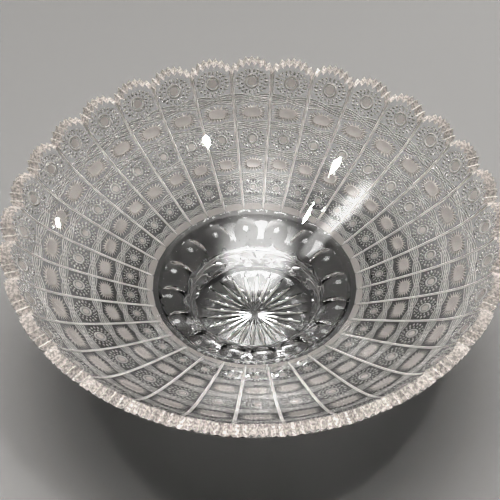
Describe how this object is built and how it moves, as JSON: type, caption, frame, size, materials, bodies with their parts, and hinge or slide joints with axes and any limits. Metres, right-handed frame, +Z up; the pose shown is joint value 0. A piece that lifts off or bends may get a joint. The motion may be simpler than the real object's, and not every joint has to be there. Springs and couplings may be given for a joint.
{
  "type": "punch bowl",
  "caption": "Wide footed punch bowl of clear cut crystal: narrow cut panels, toothed scalloped rim, thumb cuts round the well and a star under the solid foot.",
  "frame": {"origin": "middle of the flat face under the foot, on the surface that the bowl stands on", "axes": "+Z up along the bowl's axis of revolution; +X through one of the straight cuts between two panels"},
  "size_m": [0.3542, 0.3542, 0.1395],
  "materials": {
    "lead_crystal": "clear polished lead crystal with ground satin cuts on the outside"
  },
  "bodies": {
    "root": {"bowl": "lead_crystal", "foot": "lead_crystal"}
  },
  "joints": []
}
